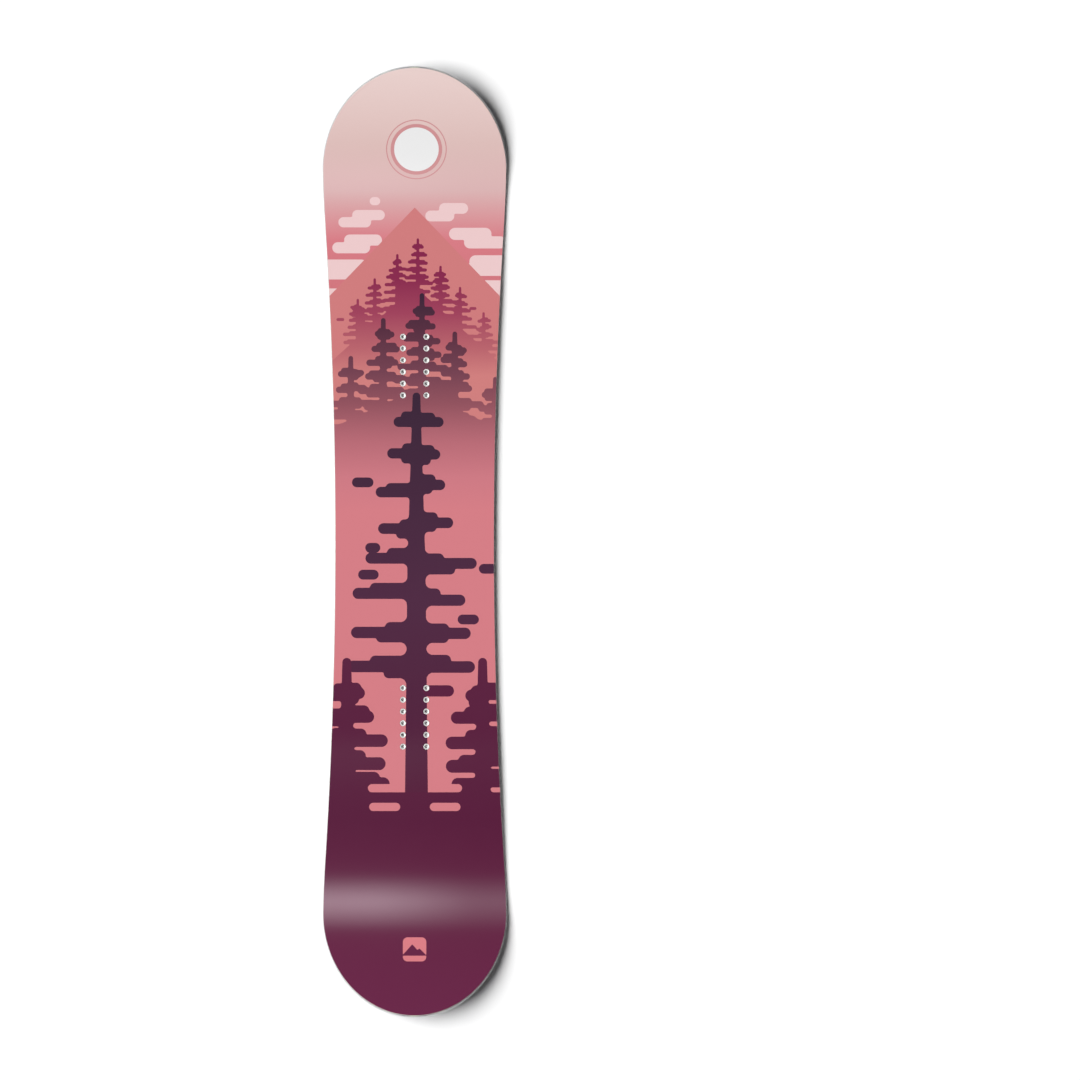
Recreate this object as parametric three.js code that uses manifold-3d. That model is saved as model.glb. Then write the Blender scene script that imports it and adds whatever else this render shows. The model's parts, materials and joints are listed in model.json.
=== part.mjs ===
// A twin-tip snowboard deck, bare, ready for bindings, as the stack of pieces it is pressed from.
//
// Frame: millimetres, +Z up, +Y towards the nose, +X towards the toe side of a regular-stance rider.
// The origin is on the ground under the middle of the board.
//
// Every laminated piece is drawn in the board's developed (unrolled) space:
//   x  across the board
//   s  along the board, measured on the base
//   h  height above the base's running surface
// and bend() rolls that space up over the two kicks, so all the layers nest as they do in the press.

import * as THREE from "three";
import { mergeVertices } from "three/addons/utils/BufferGeometryUtils.js";
import Module from "manifold-3d";

// Plan of the board
const LENGTH = 1620;
const WAIST_WIDTH = 274;
const TIP_WIDTH = 316;
const SIDECUT_RADIUS = 8500;
const TIP_DEPTH = 175; // length of the half ellipse that rounds each end
const BLEND = 4; // softens the corner where the sidecut meets the ellipse

// Side view of the board
const CONTACT = 560; // half the flat running length
const KICK_RADIUS = 650;
const CORE_TAPER_START = 385;
const CORE_END = 600;

// Heights above the base's running surface
const GLUE = 0.1;
const BASE_TOP = 1.3;
const EDGE_TOP = 2.0;
const TOOTH_THICK = 0.6;
const FOIL_THICK = 0.3;
const LOWER_GLASS_THICK = 0.5;
const UPPER_GLASS_THICK = 0.6;
const TOPSHEET_THICK = 0.6;
const LOWER_GLASS_BOTTOM = BASE_TOP + GLUE;
const CORE_BOTTOM = LOWER_GLASS_BOTTOM + LOWER_GLASS_THICK + GLUE;
const CORE_TOP_CENTRE = 8.7;
const CORE_TOP_TIP = 4.4;
const FOIL_BOTTOM = EDGE_TOP + GLUE;
const RAISED_GLASS = FOIL_BOTTOM + FOIL_THICK + GLUE; // the lower glass steps up to here over the edge
const SIDEWALL_BOTTOM = RAISED_GLASS + LOWER_GLASS_THICK + GLUE;

// Distances in from the outline
const EDGE_WIDTH = 2.0;
const TOOTH_REACH = 7.5;
const TOOTH_ROOT = 3.2;
const TOOTH_PITCH = 100;
const TOOTH_LENGTH = 60;
const TOOTH_FLANK = 5;
const BASE_OUTER = 2.4;
const FOIL_OUTER = 1.0;
const FOIL_INNER = 8.5;
const STEP_OUTER = 9.0;
const STEP_INNER = 10.4;
const SIDEWALL_OUTER = 1.2;
const SIDEWALL_BEVEL = 0.6;
const SIDEWALL_INNER = 10.6;
const CORE_OUTER = 10.8;
const TOP_OUTER = 1.9;

// Core strips, glued side by side
const STRIP_WIDTH = 20;
const STRIPS_PER_SIDE = 6;

// Threaded inserts: two packs of two columns by six rows, on the usual 40 by 20 grid
const STANCE = 600;
const COLUMN_SPACING = 40;
const ROW_SPACING = 20;
const ROWS = 6;
const INSERT = {
  flangeRadius: 9,
  flangeThick: 1,
  barrelRadius: 5,
  boreRadius: 3.15, // the M6 thread is drawn as a plain bore that just clears its screw
  mouthRadius: 3.65,
  boreBottom: 3.2,
  belowTopsheet: 0.1,
  clearance: 0.25,
  segments: 12,
};

// Sampling of the curves
const OUTLINE_SAMPLES = 700;
const TIP_STATIONS = 13;
const SIDECUT_STATIONS = 10;
const TAPER_STATIONS = 4;
const BEFORE_TIP = 14; // how far before the half ellipse the last common station of the sidecut is
const TIP_FLAT = 5; // half-width at which a layer's rounded end stops
const END_GAP = 0.15; // the two edge halves stop this far from the centreline
const LEAST_STEP = 1; // half-width of the lower glass's middle where it has run out

const wasm = await Module();
wasm.setup();

// ---------------------------------------------------------------- developed space

/** Half-width of the board at plan distance y from the middle. */
function planHalfWidth(y) {
  const sidecut = WAIST_WIDTH / 2 + SIDECUT_RADIUS - Math.sqrt(SIDECUT_RADIUS ** 2 - y ** 2);
  const beyond = Math.max(0, y - (LENGTH / 2 - TIP_DEPTH)) / TIP_DEPTH;
  const tip = (TIP_WIDTH / 2) * Math.sqrt(Math.max(0, 1 - beyond ** 2));
  const near = Math.max(0, BLEND - Math.abs(sidecut - tip)) / BLEND;
  return Math.max(0, Math.min(sidecut, tip) - (near ** 2 * BLEND) / 4);
}

/** Distance along the base for a plan distance y of at least 0. */
function developed(y) {
  return y <= CONTACT ? y : CONTACT + KICK_RADIUS * Math.asin((y - CONTACT) / KICK_RADIUS);
}

/** A point of the developed space, where it is once the board is pressed to shape. */
function bend(x, s, h) {
  const beyond = Math.abs(s) - CONTACT;
  if (beyond <= 0) return new THREE.Vector3(x, s, h);
  const angle = beyond / KICK_RADIUS;
  const radius = KICK_RADIUS - h;
  const y = CONTACT + radius * Math.sin(angle);
  return new THREE.Vector3(x, Math.sign(s) * y, KICK_RADIUS - radius * Math.cos(angle));
}

/** The outline's toe side from the middle to the nose, as developed points with inward normals. */
function quarterOutline() {
  const tipStart = LENGTH / 2 - TIP_DEPTH;
  const tipShare = 0.6;
  const points = [];
  for (let i = 0; i <= OUTLINE_SAMPLES; i++) {
    const t = i / OUTLINE_SAMPLES;
    const y =
      t < 1 - tipShare
        ? (tipStart * t) / (1 - tipShare)
        : tipStart + TIP_DEPTH * Math.sin(((t - 1 + tipShare) / tipShare) * (Math.PI / 2));
    points.push(new THREE.Vector2(planHalfWidth(y), developed(y)));
  }
  return points.map((point, i) => {
    const before = points[Math.max(0, i - 1)];
    const after = points[Math.min(points.length - 1, i + 1)];
    const along = after.clone().sub(before).normalize();
    return { point, inward: new THREE.Vector2(-along.y, along.x) };
  });
}

const QUARTER = quarterOutline();
const TIP_S = developed(LENGTH / 2);
const insetCurves = new Map();

/** The outline moved inwards by inset, as [half-width, s] from the middle to the tip. */
function insetCurve(inset) {
  if (!insetCurves.has(inset)) {
    const moved = QUARTER.map(({ point, inward }) => point.clone().addScaledVector(inward, inset));
    insetCurves.set(inset, moved);
  }
  return insetCurves.get(inset);
}

/** Half-width at developed distance s of the outline moved inwards by inset. */
function halfWidth(s, inset) {
  const curve = insetCurve(inset);
  const at = Math.abs(s);
  const i = curve.findIndex((p) => p.y >= at);
  if (i < 0) return 0;
  if (i === 0) return curve[0].x;
  const [a, b] = [curve[i - 1], curve[i]];
  return Math.max(0, THREE.MathUtils.mapLinear(at, a.y, b.y, a.x, b.x));
}

/** Height of the core's top face: full between the bindings, thinning towards the contact points. */
function coreTop(s) {
  const t = THREE.MathUtils.smoothstep(Math.abs(s), CORE_TAPER_START, CORE_END);
  return THREE.MathUtils.lerp(CORE_TOP_CENTRE, CORE_TOP_TIP, t);
}

/** Where every layer has its cross-sections, from tail to nose, before its own rounded ends. */
function commonStations() {
  const half = [];
  for (let i = 0; i < SIDECUT_STATIONS / 2; i++) half.push((i * CORE_TAPER_START) / (SIDECUT_STATIONS / 2));
  for (let i = 0; i < TAPER_STATIONS; i++) {
    half.push(THREE.MathUtils.lerp(CORE_TAPER_START, CONTACT, i / TAPER_STATIONS));
  }
  half.push(CONTACT, (CONTACT + CORE_END) / 2, CORE_END, developed(LENGTH / 2 - TIP_DEPTH - BEFORE_TIP));
  for (let i = 0; i < TIP_STATIONS; i++) {
    const angle = (i / TIP_STATIONS) * (Math.PI / 2);
    half.push(developed(LENGTH / 2 - TIP_DEPTH + TIP_DEPTH * Math.sin(angle)));
  }
  return [...half.slice(1).map((s) => -s).reverse(), ...half];
}

const STATIONS = commonStations();

/** Stations of a layer whose outline is inset, with its own last ones where it is 2 TIP_FLAT wide. */
function layerStations(inset, extra = []) {
  const last = insetCurve(inset).find((p) => p.x <= TIP_FLAT).y;
  const inner = [...STATIONS, ...extra].filter((s) => Math.abs(s) < last - 0.5);
  return [-last, ...inner, last].sort((a, b) => a - b);
}

/** Where a stepped layer's low middle starts and stops rising at the tips. */
const STEP_START = insetCurve(STEP_INNER).at(-1).y;
const STEP_STOP = insetCurve(STEP_OUTER).at(-1).y;
const STEP_STATIONS = [STEP_START, STEP_STOP, -STEP_START, -STEP_STOP];

/** The common stations strictly between two limits, with the limits themselves. */
function stationsBetween(from, to) {
  return [from, ...STATIONS.filter((s) => s > from + 1 && s < to - 1), to];
}

// ---------------------------------------------------------------- meshes

/** A closed skin through equal-sized rings of points. Each ring runs anticlockwise seen from its front. */
function skinRings(rings, capIndices) {
  const size = rings[0].length;
  const position = rings.flat().flatMap((p) => [p.x, p.y, p.z]);
  const index = [];
  for (let r = 0; r + 1 < rings.length; r++) {
    for (let k = 0; k < size; k++) {
      const a = r * size + k;
      const b = r * size + ((k + 1) % size);
      index.push(a, b, b + size, a, b + size, a + size);
    }
  }
  const lastRing = (rings.length - 1) * size;
  for (const [a, b, c] of capIndices) {
    index.push(a, c, b);
    index.push(lastRing + a, lastRing + b, lastRing + c);
  }
  const geometry = new THREE.BufferGeometry();
  geometry.setAttribute("position", new THREE.Float32BufferAttribute(position, 3));
  geometry.setIndex(index);
  return geometry;
}

/** Triangles that close a ring, wound the way the ring runs. */
function capOf(flatRing) {
  const faces = THREE.ShapeUtils.triangulateShape(flatRing, []);
  const { area } = THREE.ShapeUtils;
  const isTurned = area(flatRing) * area(faces[0].map((i) => flatRing[i])) < 0;
  return isTurned ? faces.map(([a, b, c]) => [a, c, b]) : faces;
}

/** A layer through cross-sections at constant s. section(s) gives the section's [x, h] points. */
function loft(stations, section) {
  const sections = stations.map(section);
  const rings = sections.map((points, i) => points.map(([x, h]) => bend(x, stations[i], h)));
  const cap = capOf(sections[0].map(([x, h]) => new THREE.Vector2(x, h)));
  const geometry = skinRings(rings, cap);
  return facingOut(geometry);
}

/** The same geometry with its faces turned outwards if they point in. */
function facingOut(geometry) {
  const position = geometry.getAttribute("position");
  const [a, b, c] = [new THREE.Vector3(), new THREE.Vector3(), new THREE.Vector3()];
  let volume = 0;
  for (let i = 0; i < geometry.index.count; i += 3) {
    a.fromBufferAttribute(position, geometry.index.getX(i));
    b.fromBufferAttribute(position, geometry.index.getX(i + 1));
    c.fromBufferAttribute(position, geometry.index.getX(i + 2));
    volume += a.dot(b.cross(c));
  }
  if (volume < 0) geometry.setIndex([...geometry.index.array].reverse());
  return geometry;
}

/** A plain sheet that follows the outline at inset, between two heights that may vary along the board. */
function sheet(inset, bottom, top) {
  return loft(layerStations(inset), (s) => {
    const w = halfWidth(s, inset);
    return [[-w, bottom(s)], [w, bottom(s)], [w, top(s)], [-w, top(s)]];
  });
}

/** Cross-section of a layer that lies on the base in the middle and steps up over the steel edge. */
function steppedSection(s, outer, bottomLow, bottomHigh, topLow, topHigh) {
  const w = halfWidth(s, outer);
  const foot = Math.max(halfWidth(s, STEP_OUTER), LEAST_STEP * 2);
  const floor = Math.max(halfWidth(s, STEP_INNER), LEAST_STEP);
  const rise = THREE.MathUtils.clamp((Math.abs(s) - STEP_START) / (STEP_STOP - STEP_START), 0, 1);
  const low = THREE.MathUtils.lerp(bottomLow, bottomHigh, rise);
  const high = THREE.MathUtils.lerp(topLow, topHigh, rise);
  const half = [[floor, low], [foot, bottomHigh], [w, bottomHigh], [w, topHigh]];
  if (topLow !== topHigh) half.push([foot, topHigh], [floor, high]);
  return [...half, ...half.map(([x, h]) => [-x, h]).reverse()];
}

/** A strip swept along the outline's toe side, tail to nose. profile(run) gives [inset, h] points. */
function perimeterSweep(breaks, profile) {
  const all = [...QUARTER.slice(1).map(mirrored).reverse(), ...QUARTER];
  const runs = [0];
  for (let i = 1; i < all.length; i++) runs.push(runs[i - 1] + all[i].point.distanceTo(all[i - 1].point));
  const middle = runs[QUARTER.length - 1];
  const marks = [...outlineMarks(all, runs), ...breaks.map((b) => middle + b)].sort((a, b) => a - b);
  const kept = marks.filter((run, i) => i === 0 || run - marks[i - 1] > 0.5);
  const rings = kept.map((run) => {
    const { point, inward } = along(all, runs, run);
    return profile(run - middle).map(([inset, h]) => {
      const p = point.clone().addScaledVector(inward, inset);
      return bend(Math.max(END_GAP, p.x), p.y, h);
    });
  });
  const cap = capOf(profile(kept[0] - middle).map(([inset, h]) => new THREE.Vector2(inset, h)));
  return facingOut(skinRings(rings, cap));
}

/** An outline sample reflected from the nose half to the tail half. */
function mirrored({ point, inward }) {
  return { point: new THREE.Vector2(point.x, -point.y), inward: new THREE.Vector2(inward.x, -inward.y) };
}

/** Distances along the toe side's outline at which it crosses the common stations, and its two ends. */
function outlineMarks(all, runs) {
  const marks = STATIONS.map((s) => runs[all.findIndex((o) => o.point.y >= s)]);
  return [0, TIP_FLAT, ...marks, runs.at(-1) - TIP_FLAT, runs.at(-1)];
}

/** The outline's point and inward normal at a distance along it. */
function along(all, runs, run) {
  const i = Math.max(1, runs.findIndex((r) => r >= run - 1e-9));
  const t = (run - runs[i - 1]) / (runs[i] - runs[i - 1]);
  return {
    point: all[i - 1].point.clone().lerp(all[i].point, t),
    inward: all[i - 1].inward.clone().lerp(all[i].inward, t).normalize(),
  };
}

// ---------------------------------------------------------------- cuts

/** A three.js geometry as a manifold-3d solid. */
function solid(geometry) {
  const bare = new THREE.BufferGeometry();
  const source = geometry.index ? geometry.toNonIndexed() : geometry;
  bare.setAttribute("position", source.getAttribute("position"));
  const merged = mergeVertices(bare, 1e-4);
  return new wasm.Manifold(
    new wasm.Mesh({
      numProp: 3,
      vertProperties: merged.getAttribute("position").array,
      triVerts: new Uint32Array(merged.index.array),
    }),
  );
}

/** The geometry with the cutters taken out. */
function cut(geometry, cutters) {
  const result = cutters.reduce((rest, cutter) => rest.subtract(solid(cutter)), solid(geometry)).getMesh();
  const made = new THREE.BufferGeometry();
  made.setAttribute("position", new THREE.BufferAttribute(result.vertProperties, 3));
  made.setIndex(new THREE.BufferAttribute(result.triVerts, 1));
  return made;
}

/** An upright cylinder between two heights, to cut with. */
function drill(x, y, radius, from, to) {
  const geometry = new THREE.CylinderGeometry(radius, radius, to - from, INSERT.segments);
  return geometry.rotateX(Math.PI / 2).translate(x, y, (from + to) / 2);
}

// ---------------------------------------------------------------- pieces

const TOPSHEET_TOP = CORE_TOP_CENTRE + 2 * GLUE + UPPER_GLASS_THICK + TOPSHEET_THICK;
const SIDES = [["toe", 1], ["heel", -1]];
const PACKS = [["front", 1], ["rear", -1]];

/** The 24 insert positions, each with a name. */
function insertPlaces() {
  const places = [];
  for (const [pack, end] of PACKS) {
    for (const [side, sign] of SIDES) {
      for (let row = 0; row < ROWS; row++) {
        const x = (sign * COLUMN_SPACING) / 2;
        const y = (end * STANCE) / 2 + (row - (ROWS - 1) / 2) * ROW_SPACING;
        places.push({ name: `insert_${pack}_${side}_${row + 1}`, x, y });
      }
    }
  }
  return places;
}

const INSERT_PLACES = insertPlaces();

/** A flanged stainless barrel with a blind bore, standing on its flange. */
function insertGeometry() {
  const top = TOPSHEET_TOP - INSERT.belowTopsheet;
  const chamfer = INSERT.mouthRadius - INSERT.boreRadius;
  const profile = [
    [0, CORE_BOTTOM],
    [INSERT.flangeRadius, CORE_BOTTOM],
    [INSERT.flangeRadius, CORE_BOTTOM + INSERT.flangeThick],
    [INSERT.barrelRadius, CORE_BOTTOM + INSERT.flangeThick],
    [INSERT.barrelRadius, top],
    [INSERT.mouthRadius, top],
    [INSERT.boreRadius, top - chamfer],
    [INSERT.boreRadius, INSERT.boreBottom],
    [0, INSERT.boreBottom],
  ].map(([r, z]) => new THREE.Vector2(r, z));
  return new THREE.LatheGeometry(profile, INSERT.segments).rotateX(Math.PI / 2);
}

/** Clearance holes through a layer for the barrels of the inserts. */
function barrelHoles(places, from, to) {
  const radius = INSERT.barrelRadius + INSERT.clearance;
  return places.map(({ x, y }) => drill(x, y, radius, from, to));
}

/** One strip of the wood core. number 0 is the middle strip, and the last one follows the sidecut. */
function coreStrip(number, sign) {
  const centre = number * STRIP_WIDTH;
  const inner = centre - STRIP_WIDTH / 2 + GLUE / 2;
  const isLast = number === STRIPS_PER_SIDE;
  const outer = (s) => (isLast ? halfWidth(s, CORE_OUTER) : centre + STRIP_WIDTH / 2 - GLUE / 2);
  const taper = STATIONS.filter((s) => Math.abs(s) >= CORE_TAPER_START - 1 && Math.abs(s) < CORE_END - 1);
  const stations = isLast ? stationsBetween(-CORE_END, CORE_END) : [-CORE_END, ...taper, CORE_END];
  const strip = loft(stations, (s) => [
    [sign * inner, CORE_BOTTOM],
    [sign * outer(s), CORE_BOTTOM],
    [sign * outer(s), coreTop(s)],
    [sign * inner, coreTop(s)],
  ]);
  const holed = INSERT_PLACES.filter(({ x }) => number > 0 && Math.abs(x - sign * centre) < 1);
  if (holed.length === 0) return strip;
  const flangeSeat = CORE_BOTTOM + INSERT.flangeThick + GLUE;
  const seats = holed.map(({ x, y }) => drill(x, y, INSERT.flangeRadius + INSERT.clearance, 0, flangeSeat));
  return cut(strip, [...barrelHoles(holed, 0, LENGTH), ...seats]);
}

/** A plastic sidewall, upright inside and bevelled outside. */
function sidewall(sign) {
  return loft(stationsBetween(-CORE_END, CORE_END), (s) => [
    [sign * halfWidth(s, SIDEWALL_INNER), SIDEWALL_BOTTOM],
    [sign * halfWidth(s, SIDEWALL_OUTER), SIDEWALL_BOTTOM],
    [sign * halfWidth(s, SIDEWALL_OUTER + SIDEWALL_BEVEL), coreTop(s)],
    [sign * halfWidth(s, SIDEWALL_INNER), coreTop(s)],
  ]);
}

/** The plastic that fills one end of the board beyond the core. Its sections run the other way round
 *  from the lower glass's, so that the facets that face each other are cut along the same diagonals. */
function spacer(end) {
  const stations = layerStations(SIDEWALL_OUTER, STEP_STATIONS).filter((s) => end * s > CORE_END + 1);
  const start = end * (CORE_END + 3 * GLUE);
  const all = end > 0 ? [start, ...stations] : [...stations, start];
  return loft(all, (s) =>
    steppedSection(s, SIDEWALL_OUTER, CORE_BOTTOM, SIDEWALL_BOTTOM, coreTop(s), coreTop(s)).reverse(),
  );
}

/** Half of the steel edge, with its anchoring teeth along the sidecut. */
function steelEdge() {
  const teeth = Math.floor(CORE_END / TOOTH_PITCH);
  const breaks = [];
  for (let i = -teeth; i <= teeth; i++) {
    const half = TOOTH_LENGTH / 2;
    for (const offset of [-half - TOOTH_FLANK, -half, half, half + TOOTH_FLANK]) {
      breaks.push(i * TOOTH_PITCH + offset);
    }
  }
  const reach = (run) => {
    const nearest = Math.round(run / TOOTH_PITCH);
    if (Math.abs(nearest) > teeth) return TOOTH_ROOT;
    const past = Math.abs(run - nearest * TOOTH_PITCH) - TOOTH_LENGTH / 2;
    const t = THREE.MathUtils.clamp(past / TOOTH_FLANK, 0, 1);
    return THREE.MathUtils.lerp(TOOTH_REACH, TOOTH_ROOT, t);
  };
  return perimeterSweep(breaks, (run) => [
    [0, 0],
    [0, EDGE_TOP],
    [reach(run), EDGE_TOP],
    [reach(run), EDGE_TOP - TOOTH_THICK],
    [EDGE_WIDTH, EDGE_TOP - TOOTH_THICK],
    [EDGE_WIDTH, 0],
  ]);
}

/** Half of the rubber foil that beds the laminate on the steel edge. */
function rubberFoil() {
  return perimeterSweep([], () => [
    [FOIL_OUTER, FOIL_BOTTOM],
    [FOIL_OUTER, FOIL_BOTTOM + FOIL_THICK],
    [FOIL_INNER, FOIL_BOTTOM + FOIL_THICK],
    [FOIL_INNER, FOIL_BOTTOM],
  ]);
}

/** The same geometry on the heel side. */
function onHeelSide(geometry) {
  const mirroredCopy = geometry.clone().scale(-1, 1, 1);
  return facingOut(mirroredCopy);
}

// ---------------------------------------------------------------- assembly

const MATERIALS = {
  topsheet: { color: "#b9606e", roughness: 0.35, metalness: 0 },
  base: { color: "#15263b", roughness: 0.45, metalness: 0 },
  steel: { color: "#a9abad", roughness: 0.35, metalness: 1 },
  stainless: { color: "#dcdcda", roughness: 0.25, metalness: 1 },
  glass: { color: "#cfd3bd", roughness: 0.5, metalness: 0 },
  lightWood: { color: "#d8b98a", roughness: 0.7, metalness: 0 },
  darkWood: { color: "#b98d5b", roughness: 0.7, metalness: 0 },
  plastic: { color: "#b0adaf", roughness: 0.55, metalness: 0 },
  rubber: { color: "#1b1b1c", roughness: 0.9, metalness: 0 },
};

const board = new THREE.Group();

/** Adds a named piece to the board. */
function add(name, geometry, material) {
  const mesh = new THREE.Mesh(geometry, new THREE.MeshStandardMaterial(MATERIALS[material]));
  mesh.name = name;
  board.add(mesh);
  return mesh;
}

const upperGlassBottom = (s) => coreTop(s) + GLUE;
const upperGlassTop = (s) => upperGlassBottom(s) + UPPER_GLASS_THICK;
const topsheetBottom = (s) => upperGlassTop(s) + GLUE;
const topsheetTop = (s) => topsheetBottom(s) + TOPSHEET_THICK;

add("base_sheet", sheet(BASE_OUTER, () => 0, () => BASE_TOP), "base");
add(
  "lower_fibreglass",
  loft(layerStations(FOIL_OUTER, STEP_STATIONS), (s) =>
    steppedSection(
      s,
      FOIL_OUTER,
      LOWER_GLASS_BOTTOM,
      RAISED_GLASS,
      LOWER_GLASS_BOTTOM + LOWER_GLASS_THICK,
      RAISED_GLASS + LOWER_GLASS_THICK,
    ),
  ),
  "glass",
);

const edge = steelEdge();
const foil = rubberFoil();
add("steel_edge_toe", edge, "steel");
add("steel_edge_heel", onHeelSide(edge), "steel");
add("rubber_foil_toe", foil, "rubber");
add("rubber_foil_heel", onHeelSide(foil), "rubber");

add("core_strip_middle", coreStrip(0, 1), "lightWood");
for (const [side, sign] of SIDES) {
  for (let number = 1; number <= STRIPS_PER_SIDE; number++) {
    add(`core_strip_${side}_${number}`, coreStrip(number, sign), number % 2 ? "darkWood" : "lightWood");
  }
  add(`sidewall_${side}`, sidewall(sign), "plastic");
}
add("nose_spacer", spacer(1), "plastic");
add("tail_spacer", spacer(-1), "plastic");

const upperGlass = sheet(TOP_OUTER, upperGlassBottom, upperGlassTop);
const printedSheet = sheet(TOP_OUTER, topsheetBottom, topsheetTop);
add("upper_fibreglass", cut(upperGlass, barrelHoles(INSERT_PLACES, 0, LENGTH)), "glass");
add("topsheet", cut(printedSheet, barrelHoles(INSERT_PLACES, 0, LENGTH)), "topsheet");

const insertShape = insertGeometry();
for (const { name, x, y } of INSERT_PLACES) add(name, insertShape, "stainless").position.set(x, y, 0);

export default board;
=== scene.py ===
"""A bare twin-tip snowboard: printed topsheet and base, steel edges, sidewalls and threaded inserts.

The board's plan and the two prints are drawn in millimetres in the board's developed space: x across
it, s along it, h above the base. bend() rolls that space up over the kicks and gives metres.
"""

import json
import math
import random

import bpy
import numpy as np
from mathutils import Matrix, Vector, geometry


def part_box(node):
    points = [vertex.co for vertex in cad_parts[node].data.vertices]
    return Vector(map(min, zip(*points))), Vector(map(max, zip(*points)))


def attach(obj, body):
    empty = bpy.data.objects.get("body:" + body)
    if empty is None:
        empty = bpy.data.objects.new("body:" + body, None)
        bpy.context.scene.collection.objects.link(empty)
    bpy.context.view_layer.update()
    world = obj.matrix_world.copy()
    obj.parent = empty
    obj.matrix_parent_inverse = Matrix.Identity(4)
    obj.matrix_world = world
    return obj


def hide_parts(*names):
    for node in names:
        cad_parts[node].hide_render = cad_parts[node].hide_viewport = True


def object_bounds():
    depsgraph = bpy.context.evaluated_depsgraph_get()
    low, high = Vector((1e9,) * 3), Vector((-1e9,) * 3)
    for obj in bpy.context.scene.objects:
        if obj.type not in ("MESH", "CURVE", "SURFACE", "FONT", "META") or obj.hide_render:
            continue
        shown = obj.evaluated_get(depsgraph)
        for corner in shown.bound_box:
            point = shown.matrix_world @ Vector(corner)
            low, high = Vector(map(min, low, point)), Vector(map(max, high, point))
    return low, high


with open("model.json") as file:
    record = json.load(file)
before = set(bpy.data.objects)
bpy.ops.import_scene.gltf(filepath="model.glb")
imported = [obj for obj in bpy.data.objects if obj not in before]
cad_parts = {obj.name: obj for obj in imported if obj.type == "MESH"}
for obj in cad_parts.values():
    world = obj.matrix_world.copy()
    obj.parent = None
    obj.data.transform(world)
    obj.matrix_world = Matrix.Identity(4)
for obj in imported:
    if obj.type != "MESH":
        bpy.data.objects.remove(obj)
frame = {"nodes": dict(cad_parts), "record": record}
cad_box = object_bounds()

MM = 0.001

# ---------------------------------------------------------------- sizes

LENGTH = round((cad_box[1][1] - cad_box[0][1]) / MM)
WAIST_WIDTH = 274
TIP_WIDTH = 316
SIDECUT_RADIUS = 8500
TIP_DEPTH = 175  # length of the half ellipse that rounds each end
BLEND = 4  # softens the corner where the sidecut meets the ellipse
CONTACT = 560  # half the flat running length
KICK_RADIUS = 650
TAPER_START, TAPER_END = 385, 600  # where the core gets thinner, and where it ends
CORE_TOP_CENTRE, CORE_TOP_TIP = 8.7, 4.4

# The pieces. An inset is a distance in from the outline.
EDGE_WIDTH, EDGE_TOP, TOOTH_REACH, TOOTH_THICK = 2.0, 2.0, 7.5, 0.6
BASE_INSET, BASE_TOP = 2.05, 1.3
TOP_INSET = 1.9
TOPSHEET_THICK = 0.6
TOPSHEET_RISE = 1.4  # from the core's top to the topsheet's
SIDEWALL_INSET, SIDEWALL_BEVEL, SIDEWALL_BOTTOM = 1.2, 0.6, 3.1
SIDEWALL_DEPTH = 9.4
JOINT_GAP = 0.3  # between a sidewall's end and the tip's plastic
END_GAP = 0.15  # from the middle line to where each steel edge ends
HOLE_RADIUS = 5.25
HOLE_SIDES = 36
EDGE_EASE = 0.2
TOOTH_ROOT, TOOTH_PITCH, TOOTH_LENGTH = 3.2, 100, 60
FLANGE_RADIUS, BARREL_RADIUS = 9, 5
THREAD_CREST, THREAD_ROOT, THREAD_PITCH = 2.72, 3.12, 1.0
INSERT_SIDES = 40
SHARP_ANGLE = math.radians(30)

# Studio, in metres and degrees
FRAME_WIDTH = 1.8417
FRAME_OFFSET = (0.2140, 0.0029)
LENS, SENSOR = 250, 36
AIM_HEIGHT = 0.03
FLOOR_RADIUS = 60
FLOOR_GAP = 0.0002
FLOOR_SIDES = 96
AMBIENT = 0.05
HORIZON, OVERHEAD = 0.06, 0.22  # up to where the sky is bright, and from where it is dim
GLOSS_DIMMING = 0.75  # how much of the bright horizon is kept out of reflections
KEY = 4.25
KEY_ELEVATION, KEY_SPREAD = 50, 44
TAIL_LAMP, NOSE_LAMP = 0.195, 0.036
LAMP_TINT = (1, 0.86, 0.93)
LAMP_HEIGHT, LAMP_DEPTH, LAMP_SPREAD = 1.2, 0.3, 17
LAMP_PLACE, LAMP_TARGET = 0.49, 0.635  # distances from the middle of the board
# Where each lamp across the board starts, and its share of the power
BAND_STEPS = ((-0.3, 1), (-0.06, 0.8), (0, 0.55), (0.06, 0.33), (0.3, 0))
FLOOR_LEVEL = 1.05  # what a white surface lying flat returns
GLOSS_VEIL = 0.006  # what the topsheet's gloss adds, seen from above

# What the prints' random draws start from
FAR_SEED, NEAR_SEED, OLD_TREE_SEED, FRONT_SEED, CLOUD_SEED = 3, 30, 11, 21, 1
DOT_SEED, STREAK_SEED = 5, 31

# How finely the outline and the bent surface are divided
QUARTER_SAMPLES = 150
TIP_SHARE = 0.6  # of the samples, the ones spent on the rounded end
TAPER_CUTS = 13
SIDEWALL_STATIONS = 121
KICK_STEP = 9
KICK_EASE = 38  # how far to each side the surface's shading is averaged along the board


def plan_half_width(y):
    """Half-width of the board at plan distance y from its middle."""
    sidecut = WAIST_WIDTH / 2 + SIDECUT_RADIUS - np.sqrt(SIDECUT_RADIUS**2 - y**2)
    beyond = np.maximum(0, y - (LENGTH / 2 - TIP_DEPTH)) / TIP_DEPTH
    tip = TIP_WIDTH / 2 * np.sqrt(np.maximum(0, 1 - beyond**2))
    near = np.maximum(0, BLEND - np.abs(sidecut - tip)) / BLEND
    return np.maximum(0, np.minimum(sidecut, tip) - near**2 * BLEND / 4)


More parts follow.
